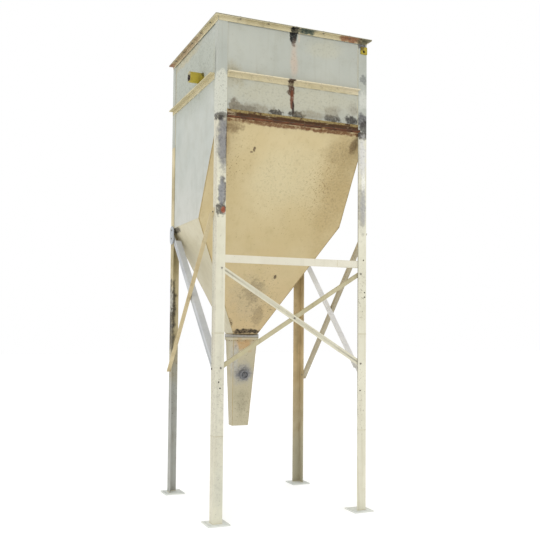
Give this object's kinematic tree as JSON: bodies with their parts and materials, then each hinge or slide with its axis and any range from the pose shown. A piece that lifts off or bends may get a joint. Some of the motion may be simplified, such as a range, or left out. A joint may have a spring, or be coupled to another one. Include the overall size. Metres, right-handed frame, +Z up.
{
  "type": "dust collector",
  "caption": "Tall hopper-bottom cartridge dust collector on braced angle legs, with a sloping-front hopper, tapered discharge spout, rear access door and roof hatch.",
  "frame": {"origin": "ground level under the middle of the leg frame", "axes": "+X to the right seen from the front, +Y to the rear, +Z up; the sloping hopper face looks towards -Y"},
  "size_m": [1.768, 1.574, 4.724],
  "materials": {
    "frame_paint": "weathered semi-gloss",
    "base_steel": "weathered",
    "panel_paint": "weathered semi-gloss",
    "wall_paint": "weathered semi-gloss",
    "hopper_paint": "weathered",
    "trim_paint": "weathered",
    "rusted_steel": "rusted",
    "gasket": "matt",
    "fastener": "dull zinc",
    "spout_paint": "weathered",
    "lifting_yellow": "faded gloss",
    "brace_white": "weathered",
    "brace_tan": "weathered",
    "brace_grey": "weathered",
    "gusset_blue": "weathered",
    "roof_paint": "weathered",
    "header_paint": "satin",
    "valve_metal": "cast",
    "pipe_metal": "zinc plated",
    "sheet_metal": "galvanised",
    "cap_metal": "galvanised",
    "media": "pleated felt",
    "port_metal": "dull"
  },
  "bodies": {
    "frame": {"leg_front_left": "frame_paint", "leg_front_right": "frame_paint", "leg_rear_left": "frame_paint", "leg_rear_right": "frame_paint", "base_plates": "base_steel", "corner_posts": "frame_paint", "front_panel": "panel_paint", "left_wall": "wall_paint", "right_wall": "wall_paint", "rear_wall": "wall_paint", "hopper_front": "hopper_paint", "hopper_left": "hopper_paint", "hopper_right": "hopper_paint", "hopper_rear": "hopper_paint", "top_flange": "trim_paint", "stiffener_band": "trim_paint", "joint_angle": "rusted_steel", "joint_gasket": "gasket", "hopper_flange": "rusted_steel", "joint_bolts": "fastener", "outlet_flange": "spout_paint", "outlet_gasket": "gasket", "spout": "spout_paint", "outlet_bolts": "fastener", "port_coupling": "port_metal", "port_plug": "port_metal", "trunnion_left": "lifting_yellow", "trunnion_right": "lifting_yellow", "lifting_lug": "lifting_yellow", "front_rail": "brace_white", "rail_splice": "brace_white", "front_brace_flat": "brace_white", "front_brace_angle": "brace_tan", "left_brace_outer": "brace_tan", "left_brace_inner": "brace_grey", "right_brace_outer": "brace_tan", "right_brace_inner": "brace_white", "brace_gussets": "gusset_blue", "brace_bolts": "fastener", "roof_plate": "roof_paint", "roof_gasket": "gasket", "roof_bolts": "fastener", "hatch_curb": "wall_paint", "air_header": "header_paint", "pulse_valves": "valve_metal", "blow_pipes": "pipe_metal", "tube_sheet": "sheet_metal", "cartridge_caps": "cap_metal", "cartridge_media": "media", "cartridge_rods": "fastener", "inlet_collar": "wall_paint", "exhaust_collar": "wall_paint", "door_frame": "wall_paint", "door_seal": "gasket"},
    "access_door_body": {"access_door": "wall_paint"},
    "hatch_lid_body": {"hatch_lid": "wall_paint"},
    "hatch_latch_body": {"hatch_latch": "fastener"},
    "door_latch_upper_body": {"door_latch_upper": "fastener"},
    "door_latch_lower_body": {"door_latch_lower": "fastener"}
  },
  "joints": [
    {"name": "door_hinge", "type": "hinge", "parent": "frame", "child": "access_door_body", "pos_m": [-0.274, 0.75, 3.3], "axis": [0, 0, 1], "range_deg": [0, 110]},
    {"name": "door_latch_upper_turn", "type": "hinge", "parent": "access_door_body", "child": "door_latch_upper_body", "pos_m": [0.2, 0.748, 3.486], "axis": [0, -1, 0], "range_deg": [0, 90]},
    {"name": "door_latch_lower_turn", "type": "hinge", "parent": "access_door_body", "child": "door_latch_lower_body", "pos_m": [0.2, 0.748, 3.114], "axis": [0, -1, 0], "range_deg": [0, 90]},
    {"name": "hatch_hinge", "type": "hinge", "parent": "frame", "child": "hatch_lid_body", "pos_m": [0, -0.126, 4.562], "axis": [-1, 0, 0], "range_deg": [0, 100]},
    {"name": "hatch_latch_turn", "type": "hinge", "parent": "hatch_lid_body", "child": "hatch_latch_body", "pos_m": [0, -0.56, 4.56], "axis": [0, 0, 1], "range_deg": [0, 90]}
  ]
}
